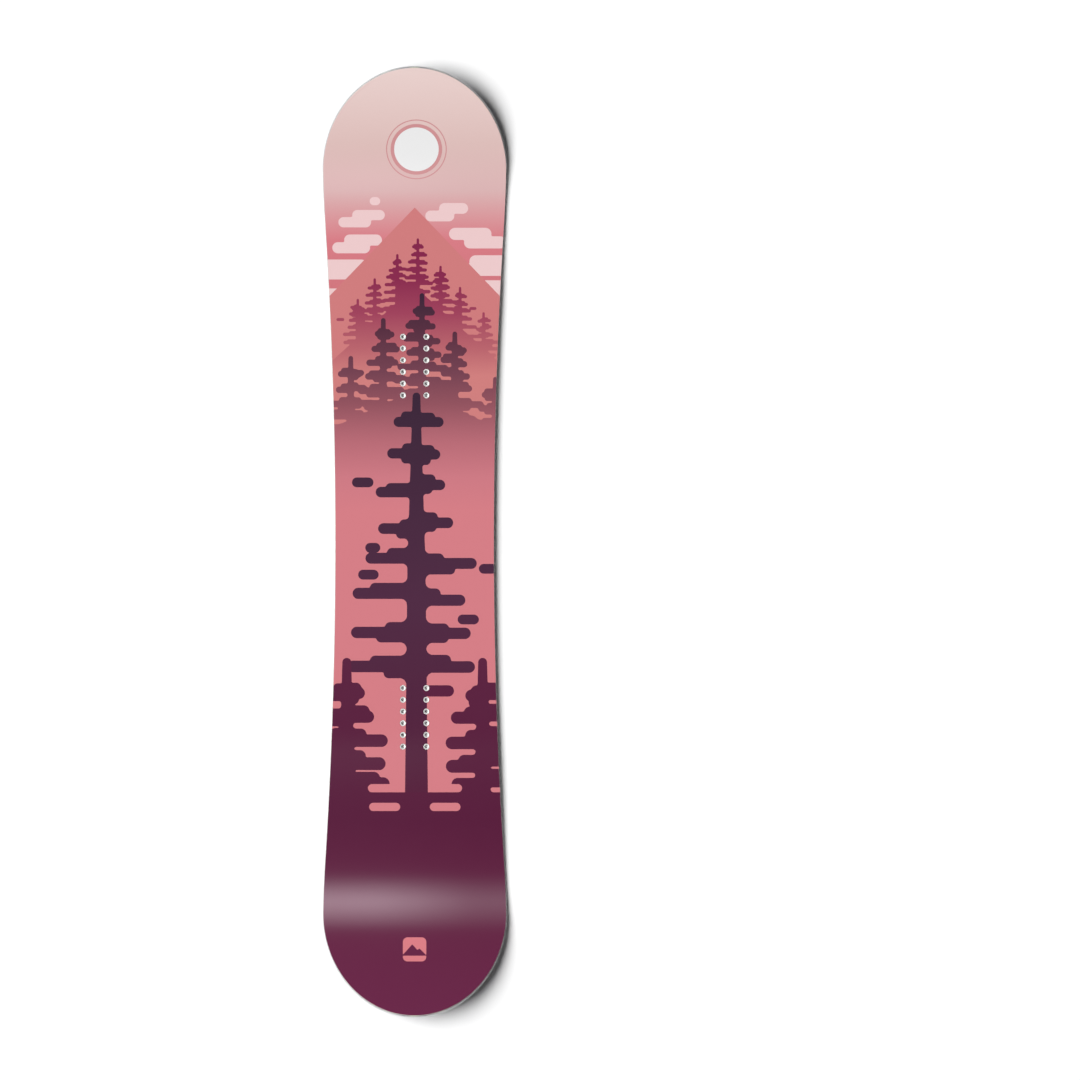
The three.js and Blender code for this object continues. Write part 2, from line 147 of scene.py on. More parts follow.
def developed(y):
    """Distance along the base for a plan distance y of at least 0."""
    past = np.clip((y - CONTACT) / KICK_RADIUS, 0, 1)
    return np.minimum(y, CONTACT) + KICK_RADIUS * np.arcsin(past)


def bend(x, s, h):
    """A point of the developed space where the press leaves it, in metres."""
    angle = max(0, abs(s) - CONTACT) / KICK_RADIUS
    if angle == 0:
        return Vector((x, s, h)) * MM
    radius = KICK_RADIUS - h
    y = CONTACT + radius * math.sin(angle)
    return Vector((x, math.copysign(y, s), KICK_RADIUS - radius * math.cos(angle))) * MM


def quarter_outline():
    """The toe side's outline from the middle to the nose, with its inward normals, as (x, s) rows."""
    t = np.linspace(0, 1, QUARTER_SAMPLES + 1)
    start = LENGTH / 2 - TIP_DEPTH
    sweep = np.clip((t - 1 + TIP_SHARE) / TIP_SHARE, 0, 1) * math.pi / 2
    y = np.where(t < 1 - TIP_SHARE, start * t / (1 - TIP_SHARE), start + TIP_DEPTH * np.sin(sweep))
    points = np.column_stack([plan_half_width(y), developed(y)])
    ahead = np.vstack([points[1:], points[-1:]])
    behind = np.vstack([points[:1], points[:-1]])
    along = ahead - behind
    along /= np.linalg.norm(along, axis=1)[:, None]
    return points, np.column_stack([-along[:, 1], along[:, 0]])


QUARTER, INWARD = quarter_outline()


def inset_curve(inset):
    """The quarter outline moved inwards, down to the middle line."""
    moved = QUARTER + INWARD * inset
    return moved[moved[:, 0] > 0]


def half_width(s, inset):
    """Half-width of the outline moved inwards by inset, at developed distance s."""
    curve = inset_curve(inset)
    return np.interp(np.abs(s), curve[:, 1], curve[:, 0], right=0)


def core_top(s):
    """Height of the core's top, which eases down towards the tips."""
    t = min(max((abs(s) - TAPER_START) / (TAPER_END - TAPER_START), 0), 1)
    return CORE_TOP_CENTRE + (CORE_TOP_TIP - CORE_TOP_CENTRE) * t * t * (3 - 2 * t)


def topsheet_top(s):
    """Height of the topsheet's printed face."""
    return core_top(s) + TOPSHEET_RISE


def whole_outline(inset):
    """The closed outline moved inwards, as (x, s) rows, anticlockwise seen from above."""
    q = inset_curve(inset)
    right = np.vstack([(q * (1, -1))[:0:-1], q])
    return np.vstack([right, (right * (-1, 1))[::-1]])


def cross_lines(inset):
    """Where the surface starts a new facet along the taper and the kick, as (s, half-width to cut)."""
    taper = np.linspace(TAPER_START, CONTACT, TAPER_CUTS)
    kick = np.arange(CONTACT + KICK_STEP, developed(LENGTH / 2), KICK_STEP)
    widths = [(s, half_width(s, inset)) for s in np.concatenate([taper, kick])]
    return [(end * s, w + 2) for s, w in widths for end in (-1, 1) if w > 2]


# ---------------------------------------------------------------- drawing with distance fields

GRID = 1.5
SPECK = 14  # the smallest patch of ink that is printed, in square mm
FIELD_HALF_WIDTH, FIELD_HALF_LENGTH = 165, 830
GRID_X = np.arange(-FIELD_HALF_WIDTH, FIELD_HALF_WIDTH + GRID, GRID)
GRID_S = np.arange(-FIELD_HALF_LENGTH, FIELD_HALF_LENGTH + GRID, GRID)
FIELD_X, FIELD_S = np.meshgrid(GRID_X, GRID_S, indexing="ij")
FAR = 1000.0


def capsule(x, s, a, b, r_a, r_b=None):
    """Signed distance from (x, s) to a round-ended bar from a to b, its radius going from r_a to r_b."""
    r_b = r_a if r_b is None else r_b
    dx, ds = b[0] - a[0], b[1] - a[1]
    t = ((x - a[0]) * dx + (s - a[1]) * ds) / max(dx * dx + ds * ds, 1e-9)
    t = np.clip(t, 0, 1)
    gap = np.hypot(x - a[0] - t * dx, s - a[1] - t * ds)
    return gap - (r_a + (r_b - r_a) * t)


def soft_min(a, b, k):
    """The nearer of two distances, with the corner between them filled to about radius k."""
    h = np.clip(0.5 + 0.5 * (b - a) / k, 0, 1)
    return b * (1 - h) + a * h - k * h * (1 - h)


def round_min(a, b, radius):
    """The nearer of two distances, with the corner between them rounded out to a radius."""
    rounded = np.hypot(np.maximum(radius - a, 0), np.maximum(radius - b, 0))
    return np.maximum(radius, np.minimum(a, b)) - rounded


def ink_field(bars, fillet=0.5):
    """The distance field of many bars melted together. A bar is (a, b, radius at a, radius at b)."""
    field = np.full_like(FIELD_X, FAR)
    for a, b, r_a, r_b in bars:
        reach = max(r_a, r_b) + 2 * fillet + 3 * GRID
        low = np.minimum(a, b) - reach
        high = np.maximum(a, b) + reach
        i = slice(*np.searchsorted(GRID_X, (low[0], high[0])))
        j = slice(*np.searchsorted(GRID_S, (low[1], high[1])))
        gap = capsule(FIELD_X[i, j], FIELD_S[i, j], a, b, r_a, r_b)
        field[i, j] = soft_min(field[i, j], gap, fillet)
    return field


def bar(a, b, r_a, r_b=None):
    """A bar from a to b, as ink_field takes it."""
    return a, b, r_a, r_a if r_b is None else r_b


def field_at(field, x, s):
    """The field's value at any points, by bilinear interpolation."""
    u = np.clip((x - GRID_X[0]) / GRID, 0, len(GRID_X) - 1.001)
    v = np.clip((s - GRID_S[0]) / GRID, 0, len(GRID_S) - 1.001)
    i, j = u.astype(int), v.astype(int)
    u, v = u - i, v - j
    low = field[i, j] * (1 - u) + field[i + 1, j] * u
    high = field[i, j + 1] * (1 - u) + field[i + 1, j + 1] * u
    return low * (1 - v) + high * v


def crossings(field):
    """Line segments along which a field is 0, cell by cell, as a list of pairs of points."""
    inside = field < 0
    corners = np.stack([inside[:-1, :-1], inside[1:, :-1], inside[1:, 1:], inside[:-1, 1:]])
    mixed = np.argwhere(corners.any(0) & ~corners.all(0))
    segments = []
    for i, j in mixed:
        ring = [(i, j), (i + 1, j), (i + 1, j + 1), (i, j + 1)]
        found = []
        for p, q in zip(ring, ring[1:] + ring[:1]):
            f, g = field[p], field[q]
            if (f < 0) != (g < 0):
                t = f / (f - g)
                x = GRID_X[p[0]] + t * (GRID_X[q[0]] - GRID_X[p[0]])
                s = GRID_S[p[1]] + t * (GRID_S[q[1]] - GRID_S[p[1]])
                found.append((float(x), float(s)))
        for k in range(0, len(found), 2):
            segments.append((found[k], found[k + 1]))
    return segments


# ---------------------------------------------------------------- the topsheet's print: a forest at dusk

MIDDLE = 3  # the print stands this far to the toe side
SUN_AT, SUN_RADIUS = 671, 38
MOUNTAIN_TOP = 571
CLOUD_TOP, CLOUD_PITCH = 566, 46
FRONT_TREE = 116
GAP_ROWS, GAP_RADIUS = (-421, -453), 7
GROUND_FILLET = 8
BADGE_AT = 697


def limb(x, side, s, reach, thick, rng):
    """A branch: a slab that runs out from the stem at x, with shorter ones over and often under it."""
    r = thick / 2
    over = s + thick * rng.uniform(0.4, 0.6)
    under = s - thick * rng.uniform(0.4, 0.6)
    bars = [
        bar((x, s), (x + side * max(reach - r, r), s), r),
        bar((x, over), (x + side * reach * rng.uniform(0.3, 0.65), over), 0.9 * r),
    ]
    if rng.random() < 0.45:
        bars.append(bar((x, under), (x + side * reach * rng.uniform(0.35, 0.6), under), 0.85 * r))
    return bars


def tree(x, top, foot, spread, thick, gaps, seed, stem=0.5, bare=0.0, fillet=0.3, loose=1):
    """The field of a conifer of stepped round-ended slabs, which reach spread from its stem.

    gaps is the least and most from one limb to the next. It, the stem's half thickness at the foot and
    the fillet between stem and limbs, which grows down the tree, are in slab thicknesses. The lowest
    bare share has no limbs, and loose bars float beside the tree.
    """
    rng = random.Random(seed)
    height = top - foot
    waist = top - 0.4 * height
    trunk = [
        bar((x, top), (x, waist), thick * 0.33, thick * (0.12 + 0.65 * stem)),
        bar((x, waist), (x, foot), thick * (0.12 + 0.65 * stem), thick * stem),
    ]
    limbs = []
    for side in (-1, 1):
        s = top - thick * rng.uniform(1.9, 2.5)
        while s > foot + bare * height:
            down = (top - s) / height / (1 - bare)
            reach = (0.28 + 0.72 * min(1, 1.4 * down)) * spread * rng.uniform(0.68, 1.08)
            limbs += limb(x, side, s, reach, thick * (0.85 + 0.15 * down), rng)
            s -= thick * rng.uniform(*gaps)
    floating = []
    for _ in range(loose):
        side = rng.choice((-1, 1))
        away = x + side * spread * rng.uniform(0.55, 1.05)
        level = top - (1 - bare) * height * rng.uniform(0.12, 0.95)
        end = away + side * thick * rng.uniform(0.05, 1.6)
        floating.append(bar((away, level), (end, level), thick * 0.42))
    radius = thick * fillet * np.clip(2 * (top - FIELD_S) / height, 0.25, 1)
    grown = round_min(ink_field(trunk), ink_field(limbs, thick * 0.12), radius)
    return np.minimum(grown, ink_field(floating))


def hill(apex, slope):
    """The field of the ground that falls away to both sides of its apex."""
    return (FIELD_S - apex + slope * np.abs(FIELD_X)) / math.hypot(1, slope)


def tree_row(count, gap, apex, slope, thick, spread, ground, seed):
    """Trees on the ground's hill, the tallest in the middle and the others lower to both sides."""
    rng = random.Random(seed)
    wood = hill(*ground)
    for n in range(count):
        side = -1 if n % 2 else 1
        x = side * gap * ((n + 1) // 2) + rng.uniform(0.1, 0.3) * gap
        top = apex - slope * abs(x) + rng.uniform(-0.6, 0.6) * thick
        foot = ground[0] - ground[1] * abs(x) - 2 * thick
        one = tree(x, top, foot, spread, thick, (1.7, 2.3), seed + n)
        wood = soft_min(wood, one, thick * 0.3)
    return wood


def old_tree():
    """The tall tree in the middle of the board, whose trunk is bare towards its foot."""
    top, foot, spread, thick = 248, -470, 116, 20
    return tree(
        MIDDLE, top, foot, spread, thick, (2.5, 3.5), OLD_TREE_SEED,
        stem=1.0, bare=0.34, fillet=0.55, loose=5,
    )


def front_forest():
    """The dark trees at both edges and the ground between them, with gaps of light."""
    ground, top, foot, spread, thick = -428, -206, -450, 78, 23
    wood = FIELD_S - ground
    for side in (-1, 1):
        seed = FRONT_SEED + side
        one = tree(side * FRONT_TREE, top, foot, spread, thick, (1.5, 1.9), seed)
        wood = soft_min(wood, one, GROUND_FILLET)
    rng = random.Random(FRONT_SEED)
    gaps = []
    for side in (-1, 1):
        for s in GAP_ROWS:
            inner, outer = side * rng.uniform(28, 34), side * rng.uniform(66, 76)
            gaps.append(bar((inner, s), (outer, s), GAP_RADIUS))
    return np.maximum(wood, -ink_field(gaps))


def clouds():
    """Flat clouds of two overlapping bars beside the mountain, the lower ones past the edge."""
    rng = random.Random(CLOUD_SEED)
    bars = []
    for side in (-1, 1):
        for row in range(4):
            r = rng.uniform(8.5, 10.5)
            s = CLOUD_TOP - CLOUD_PITCH * row + side * rng.uniform(2, 9)
            inner = 44 + 20 * row + rng.uniform(-4, 22)
            outer = inner + (100 if row > 1 else rng.uniform(30, 62))
            shift = rng.choice((-1, 1)) * rng.uniform(16, 26)
            bars.append(bar((side * inner, s), (side * outer, s), r))
            under = s - 1.4 * r
            bars.append(bar((side * (inner + shift), under), (side * (outer + shift), under), r))
    bars.append(bar((-70, 582), (-66, 582), 7))
    return ink_field(bars, fillet=3)


def ring(centre, inner, outer):
    """The field of a ring between two radii."""
    away = np.hypot(FIELD_X - centre[0], FIELD_S - centre[1])
    return np.abs(away - (inner + outer) / 2) - (outer - inner) / 2


def badge():
    """A small round-cornered badge with two peaks cut out of it."""
    x, s = FIELD_X, FIELD_S + developed(BADGE_AT)
    plate_x, plate_s, corner = 20, 21, 8
    foot = -s - 11
    over_x, over_s = np.abs(x) - plate_x + corner, np.abs(s) - plate_s + corner
    beyond = np.hypot(np.maximum(over_x, 0), np.maximum(over_s, 0))
    plate = beyond + np.minimum(np.maximum(over_x, over_s), 0) - corner
    tall = np.maximum(s - 9 + 1.15 * np.abs(x + 4), foot) / 1.5
    short = np.maximum(s - 2 + np.abs(x - 8), foot) / 1.4
    return np.maximum(plate, -np.minimum(tall, short))


def dusk_layers():
    """The topsheet's inks from the back to the front, as (ink, field)."""
    sun = (MIDDLE, developed(SUN_AT))
    far = dict(count=7, gap=36, apex=522, slope=1.12, thick=6.2, spread=27, ground=(436, 0.9))
    near = dict(count=5, gap=60, apex=438, slope=1.16, thick=12, spread=48, ground=(258, 0.45))
    return [
        ("halo_ink", ring(sun, 49.9, 51.8)),
        ("halo_ink", ring(sun, SUN_RADIUS, 44)),
        ("sun_ink", ring(sun, -SUN_RADIUS, SUN_RADIUS)),
        ("cloud_ink", clouds()),
        ("mountain_ink", hill(MOUNTAIN_TOP, 1.04)),
        ("far_wood_ink", tree_row(**far, seed=FAR_SEED)),
        ("near_wood_ink", tree_row(**near, seed=NEAR_SEED)),
        ("old_tree_ink", old_tree()),
        ("front_wood_ink", front_forest()),
        ("badge_ink", badge()),
    ]


# ---------------------------------------------------------------- the base's print: wind

HAIRLINE = 0.9
PRINT_MARGIN = 26
SWINGS = 4.5
DOTS = 16
SHADE_OFFSET = (-4, -4)


def brushed(points, widths):
    """A stroke through the points as bars, with a radius at each point."""
    pairs = zip(points, points[1:], widths, widths[1:])
    return [bar(*pair) for pair in pairs]


def streak(x, s, length, thick, rng, steps=10):
    """A wavy brush stroke along the board, as bars: a thin end, and a broad one that closes quickly."""
    phase = rng.uniform(0, math.tau)
    lean = rng.uniform(-0.08, 0.08)
    points, widths = [], []
    for k in range(steps + 1):
        t = k / steps
        bow = 0.05 * length * math.sin(phase + t * math.pi * 1.4)
        points.append((x + bow + lean * length * (t - 0.5), s - length * (t - 0.5)))
        fullness = t / 0.7 if t < 0.7 else ((1 - t) / 0.3) ** 0.7
        widths.append(max(HAIRLINE, thick * fullness))
    return brushed(points, widths)


def streaks(count, seed, lengths, thick):
    """Streaks of one ink, spread down the base."""
    rng = random.Random(seed)
    bars = []
    for n in range(count):
        s = -600 + 1220 * (n + rng.random()) / count
        x = rng.uniform(-1, 1) * (half_width(s, 0) - PRINT_MARGIN)
        bars += streak(x, s, rng.uniform(*lengths), thick * rng.uniform(0.7, 1.2), rng)
    return ink_field(bars)


def gust(phase, sway, thick, offset=(0, 0), steps=160):
    """A ribbon that swings from side to side down the base, broad on every other swing, as bars."""
    points, widths = [], []
    for k in range(steps + 1):
        t = k / steps
        angle = phase + SWINGS * math.tau * t
        grow = math.sin(math.pi * (0.02 + 0.96 * t)) ** 0.4
        points.append((sway * grow * math.sin(angle) + offset[0], 445 - 900 * t + offset[1]))
        widths.append(thick * grow * (0.62 + 0.38 * math.cos(angle)))
    return brushed(points, widths)


def wind_layers():
    """The base's inks from the back to the front, as (ink, field)."""
    rng = random.Random(DOT_SEED)
    dots = []
    for n in range(DOTS):
        s = -520 + 1130 * (n + rng.random()) / DOTS
        x = rng.uniform(-1, 1) * (half_width(s, 0) - PRINT_MARGIN)
        dots.append(bar((x, s), (x, s), rng.choice((2.5, 5, 9.5))))
    gusts = [(0.4, 98, 15.5), (1.2, 64, 7)]  # phase, sway and thickness
    shade = [piece for shape in gusts for piece in gust(*shape, offset=SHADE_OFFSET)]
    light = [piece for shape in gusts for piece in gust(*shape)]
    return [
        ("dot_ink", ink_field(dots)),
        ("violet_ink", streaks(15, STREAK_SEED, (100, 150), 5)),
        ("blue_ink", streaks(11, STREAK_SEED + 1, (70, 140), 6.5)),
        ("green_ink", streaks(11, STREAK_SEED + 2, (80, 140), 6)),
        ("cyan_ink", streaks(16, STREAK_SEED + 3, (80, 160), 5)),
        ("white_ink", streaks(17, STREAK_SEED + 4, (60, 110), 3.6)),
        ("cyan_ink", ink_field(shade)),
        ("white_ink", ink_field(light)),
    ]


# ---------------------------------------------------------------- node materials


def new_material(name, **inputs):
    """A Principled material with its constant inputs set, as (material, nodes, links, shader)."""
    made = bpy.data.materials.new(name)
    made.use_nodes = True
    nodes, links = made.node_tree.nodes, made.node_tree.links
    shader = nodes["Principled BSDF"]
    for key, value in inputs.items():
        shader.inputs[key.replace("_", " ")].default_value = value
    return made, nodes, links, shader


def linear(colour):
    """An sRGB colour of 0 to 255 as linear RGBA."""
    shares = [c / 255 for c in colour]
    return [c / 12.92 if c <= 0.04045 else ((c + 0.055) / 1.055) ** 2.4 for c in shares] + [1.0]


def ink(colour):
    """The ink that reads as this sRGB colour in the studio, under the veil that its own gloss adds."""
    return [max(0.001, c / FLOOR_LEVEL - GLOSS_VEIL) for c in linear(colour)[:3]] + [1.0]


def noise(nodes, links, scale, stretch=(1, 1, 1), detail=4):
    """A noise texture in the board's own space, stretched along each axis."""
    place = nodes.new("ShaderNodeTexCoord")
    mapping = nodes.new("ShaderNodeMapping")
    mapping.inputs["Scale"].default_value = stretch
    made = nodes.new("ShaderNodeTexNoise")
    made.inputs["Scale"].default_value = scale
    made.inputs["Detail"].default_value = detail
    links.new(place.outputs["Object"], mapping.inputs["Vector"])
    links.new(mapping.outputs["Vector"], made.inputs["Vector"])
    return made.outputs["Fac"]


def ranged(nodes, links, value, low, high):
    """value, from 0 to 1, carried to low to high."""
    made = nodes.new("ShaderNodeMapRange")
    made.inputs["To Min"].default_value = low
    made.inputs["To Max"].default_value = high
    links.new(value, made.inputs["Value"])
    return made.outputs["Result"]


def bump(nodes, links, shader, height, strength, distance):
    """Lets a height, from 0 to 1, tilt the surface's normal. distance is in metres."""
    made = nodes.new("ShaderNodeBump")
    made.inputs["Strength"].default_value = strength
    made.inputs["Distance"].default_value = distance
    links.new(height, made.inputs["Height"])
    links.new(made.outputs["Normal"], shader.inputs["Normal"])


def mottled(nodes, links, shader, colour, grain, amount):
    """Feeds the base colour through a slight unevenness."""
    mix = nodes.new("ShaderNodeMix")
    mix.data_type = "RGBA"
    mix.blend_type = "MULTIPLY"
    mix.inputs["Factor"].default_value = 1
    level = ranged(nodes, links, grain, 1 - amount, 1 + amount)
    grey = nodes.new("ShaderNodeCombineColor")
    for channel in ("Red", "Green", "Blue"):
        links.new(level, grey.inputs[channel])
    links.new(grey.outputs["Color"], mix.inputs["B"])
    if isinstance(colour, bpy.types.NodeSocket):
        links.new(colour, mix.inputs["A"])
    else:
        mix.inputs["A"].default_value = colour
    links.new(mix.outputs["Result"], shader.inputs["Base Color"])


def along_board(nodes, links, stops):
    """A colour that changes along the board. A stop is (distance from the middle in mm, sRGB colour)."""
    low, high = stops[0][0], stops[-1][0]
    place = nodes.new("ShaderNodeTexCoord")
    split = nodes.new("ShaderNodeSeparateXYZ")
    span = nodes.new("ShaderNodeMapRange")
    span.inputs["From Min"].default_value = low * MM
    span.inputs["From Max"].default_value = high * MM
    ramp = nodes.new("ShaderNodeValToRGB")
    links.new(place.outputs["Object"], split.inputs["Vector"])
    links.new(split.outputs["Y"], span.inputs["Value"])
    links.new(span.outputs["Result"], ramp.inputs["Fac"])
    points = ramp.color_ramp.elements
    while len(points) < len(stops):
        points.new(0.5)
    for point, (at, colour) in zip(points, stops):
        point.position = (at - low) / (high - low)
        point.color = ink(colour)
    return ramp.outputs["Color"]


def film_ink(name, stops):
    """An ink of the topsheet: print under a clear satin film with a faint orange-peel surface."""
    made, nodes, links, shader = new_material(
        name, Coat_Weight=1.0, Coat_Roughness=0.13, Specular_IOR_Level=0.1
    )
    colour = along_board(nodes, links, stops) if len(stops) > 1 else ink(stops[0][1])
    mottled(nodes, links, shader, colour, noise(nodes, links, 900, detail=2), 0.02)
    peel = noise(nodes, links, 420, detail=3)
    bump(nodes, links, shader, peel, 0.06, 0.0003)
    links.new(ranged(nodes, links, noise(nodes, links, 30), 0.36, 0.48), shader.inputs["Roughness"])
    return made


def base_ink(name, colour):
    """An ink of the base: sintered polyethylene with the fine grooves of its stone grind."""
    made, nodes, links, shader = new_material(name, Coat_Weight=0.15, Coat_Roughness=0.3)
    mottled(nodes, links, shader, linear(colour), noise(nodes, links, 260, detail=6), 0.07)
    grooves = noise(nodes, links, 1500, stretch=(1, 0.012, 1), detail=2)
    bump(nodes, links, shader, grooves, 0.25, 0.0002)
    links.new(ranged(nodes, links, grooves, 0.34, 0.5), shader.inputs["Roughness"])
    return made


def ground_steel(name):
    """Edge steel, ground lengthways."""
    made, nodes, links, shader = new_material(name, Metallic=0.8)
    lines = noise(nodes, links, 900, stretch=(1, 0.02, 1), detail=3)
    mottled(nodes, links, shader, linear((226, 227, 229)), lines, 0.1)
    links.new(ranged(nodes, links, lines, 0.4, 0.56), shader.inputs["Roughness"])
    bump(nodes, links, shader, lines, 0.15, 0.0001)
    return made


def turned_steel(name):
    """Stainless steel, turned and tumbled."""
    made, nodes, links, shader = new_material(name, Metallic=0.4)
    grain = noise(nodes, links, 1400, detail=4)
    mottled(nodes, links, shader, linear((231, 231, 230)), grain, 0.04)
    links.new(ranged(nodes, links, grain, 0.44, 0.58), shader.inputs["Roughness"])
    return made


def milled_plastic(name, colour):
    """ABS with the fine lines that the sidewall planer leaves."""
    made, nodes, links, shader = new_material(name, Specular_IOR_Level=0.4)
    lines = noise(nodes, links, 800, stretch=(1, 0.03, 1), detail=3)
    mottled(nodes, links, shader, linear(colour), lines, 0.12)
    links.new(ranged(nodes, links, lines, 0.4, 0.6), shader.inputs["Roughness"])
    bump(nodes, links, shader, lines, 0.3, 0.0002)
    return made


def wood(name, light, dark):
    """Planed wood with its grain along the board."""
    made, nodes, links, shader = new_material(name, Roughness=0.6)
    grain = noise(nodes, links, 160, stretch=(1, 0.05, 1), detail=6)
    ramp = nodes.new("ShaderNodeValToRGB")
    ramp.color_ramp.elements[0].color = linear(dark)
    ramp.color_ramp.elements[1].color = linear(light)
    ramp.color_ramp.elements[0].position = 0.35
    ramp.color_ramp.elements[1].position = 0.65
    links.new(grain, ramp.inputs["Fac"])
    links.new(ramp.outputs["Color"], shader.inputs["Base Color"])
    bump(nodes, links, shader, grain, 0.2, 0.0002)
    return made


def glass_cloth(name):
    """Cured epoxy over a woven glass cloth."""
    made, nodes, links, shader = new_material(name, Coat_Weight=0.5, Coat_Roughness=0.2)
    place = nodes.new("ShaderNodeTexCoord")
    weave = nodes.new("ShaderNodeTexChecker")
    weave.inputs["Scale"].default_value = 500
    weave.inputs["Color1"].default_value = linear((208, 212, 190))
    weave.inputs["Color2"].default_value = linear((194, 198, 176))
    links.new(place.outputs["Object"], weave.inputs["Vector"])
    links.new(weave.outputs["Color"], shader.inputs["Base Color"])
    bump(nodes, links, shader, weave.outputs["Fac"], 0.3, 0.0001)
    return made


def rubber(name):
    """Black sheet rubber."""
    made, nodes, links, shader = new_material(name)
    grain = noise(nodes, links, 700, detail=5)
    mottled(nodes, links, shader, linear((34, 34, 35)), grain, 0.2)
    links.new(ranged(nodes, links, grain, 0.75, 0.95), shader.inputs["Roughness"])
    return made


# The inks of each print. Along the topsheet they change from stop to stop. The sky's last stop at the
# nose is painted lighter than the print, as painted light against the shade where the kick tilts away
# from the key. The front wood's stops get lighter towards the tail, partly the print's own gradient and
# partly a painted sheen of the tail's tilted kick.
SKY_WITH_PAINTED_NOSE_LIGHT = [
    (440, (209, 118, 126)),
    (514, (215, 124, 133)),
    (557, (217, 153, 157)),
    (600, (217, 178, 178)),
    (680, (222, 191, 187)),
    # painted light: the nose's end is lighter than the print, to make up for the shade where the kick
    # tilts away from the key
    (810, (239, 215, 211)),
]
FILM_STOPS = {
    "sky_ink": SKY_WITH_PAINTED_NOSE_LIGHT,
    "halo_ink": [(0, (207, 146, 148))],
    "sun_ink": [(0, (236, 236, 236))],
    "cloud_ink": [(0, (236, 202, 203))],
    "mountain_ink": [(0, (207, 124, 125))],
    "far_wood_ink": [
        (284, (208, 127, 126)),
        (330, (185, 100, 109)),
        (390, (159, 66, 92)),
        (450, (136, 42, 78)),
        (516, (131, 38, 75)),
    ],
    "near_wood_ink": [
        (54, (213, 126, 134)),
        (110, (205, 122, 132)),
        (170, (184, 107, 118)),
        (235, (146, 83, 95)),
        (290, (116, 66, 82)),
        (361, (86, 46, 64)),
        (424, (58, 36, 56)),
    ],
    "old_tree_ink": [
        (-480, (88, 31, 60)),
        (-300, (83, 36, 63)),
        (-100, (80, 43, 68)),
        (246, (60, 39, 58)),
    ],
    "front_wood_ink": [
        # lighter towards the tail: partly the print's own gradient, partly a painted sheen of the tilted
        # kick
        (-810, (107, 44, 75)),
        (-640, (98, 36, 66)),
        (-480, (88, 29, 60)),
        (-200, (92, 36, 65)),
    ],
    "badge_ink": [(0, (216, 125, 132))],
}
BASE_COLOURS = {
    "navy_ink": (22, 38, 57),
    "dot_ink": (52, 92, 150),
    "violet_ink": (50, 40, 112),
    "blue_ink": (32, 92, 182),
    "green_ink": (22, 150, 112),
    "cyan_ink": (64, 196, 236),
    "white_ink": (244, 246, 248),
}

# ---------------------------------------------------------------- meshes


def as_object(name, vertices, faces, materials, slots_of_faces=None, replaces=()):
    """A smooth-shaded mesh object that rides on the board, with its faces' materials."""
    mesh = bpy.data.meshes.new(name)
    mesh.from_pydata([tuple(v) for v in vertices], [], faces)
    for material in materials:
        mesh.materials.append(material)
    if slots_of_faces is not None:
        mesh.polygons.foreach_set("material_index", slots_of_faces)
    mesh.shade_smooth()
    mesh.set_sharp_from_angle(angle=SHARP_ANGLE)
    return placed(name, mesh, replaces)


def placed(name, mesh, replaces, location=(0, 0, 0)):
    """A mesh as an object that rides on the board, and takes the place of CAD nodes."""
    made = bpy.data.objects.new(name, mesh)
    made.location = location
    bpy.context.scene.collection.objects.link(made)
    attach(made, "root")
    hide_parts(*replaces)
    return made


def skin(rings):
    """Quads through equal rings of points, closed at both ends and facing out, as (vertices, faces)."""
    size = len(rings[0])
    vertices = [p for points in rings for p in points]
    faces = [tuple(range(size))[::-1]]
    for r in range(len(rings) - 1):
        for k in range(size):
            a, b = r * size + k, r * size + (k + 1) % size
            faces.append((a, b, b + size, a + size))
    faces.append(tuple(len(vertices) - size + k for k in range(size)))
    volume = 0
    for face in faces:
        a = vertices[face[0]]
        for b, c in zip(face[1:-1], face[2:]):
            volume += a.dot(vertices[b].cross(vertices[c]))
    return vertices, faces if volume > 0 else [face[::-1] for face in faces]


def loop_edges(count, start):
    """The edges of a closed loop of points."""
    return [(start + k, start + (k + 1) % count) for k in range(count)]


def triangulated(points, edges):
    """Constrained Delaunay triangles over the points' convex hull, as (points, triangles)."""
    made = geometry.delaunay_2d_cdt([Vector(p) for p in points], edges, [], 0, 1e-4, False)
    return np.array(made[0]), [tuple(face) for face in made[2]]


def on_sheet(at, inset, holes):
    """Which points are inside the outline moved inwards, and in none of the holes."""
    kept = np.abs(at[:, 0]) < half_width(at[:, 1], inset)
    for x, s in holes:
        kept &= np.hypot(at[:, 0] - x, at[:, 1] - s) > HOLE_RADIUS * 0.99
    return kept


def facing(s, height):
    """Unit normal of the surface at height(s), away from the snow, as if the kick began gently."""
    ahead, behind = s + KICK_EASE, s - KICK_EASE
    along = bend(0, ahead, height(ahead)) - bend(0, behind, height(behind))
    return Vector((0, -along.z, along.y)).normalized()


def neighbours(triangles):
    """For each triangle, the ones that share an edge with it."""
    beside = [[] for _ in triangles]
    waiting = {}
    for n, t in enumerate(triangles):
        for a, b in zip(t, t[1:] + t[:1]):
            m = waiting.pop((b, a), None)
            if m is None:
                waiting[a, b] = n
            else:
                beside[n].append(m)
                beside[m].append(n)
    return beside


def without_specks(at, triangles, inks):
    """The triangles' inks, where a patch smaller than SPECK takes the ink around it."""
    beside = neighbours(triangles)
    corners = at[np.array(triangles)]
    u, v = corners[:, 1] - corners[:, 0], corners[:, 2] - corners[:, 0]
    areas = np.abs(u[:, 0] * v[:, 1] - u[:, 1] * v[:, 0]) / 2
    seen = [False] * len(triangles)
    for start in range(len(triangles)):
        if seen[start]:
            continue
        seen[start] = True
        patch, around = [start], []
        for n in patch:
            for m in beside[n]:
                if inks[m] != inks[start]:
                    around.append(inks[m])
                elif not seen[m]:
                    seen[m] = True
                    patch.append(m)
        if around and areas[patch].sum() < SPECK:
            new = max(sorted(set(around)), key=around.count)
            for n in patch:
                inks[n] = new
    return inks


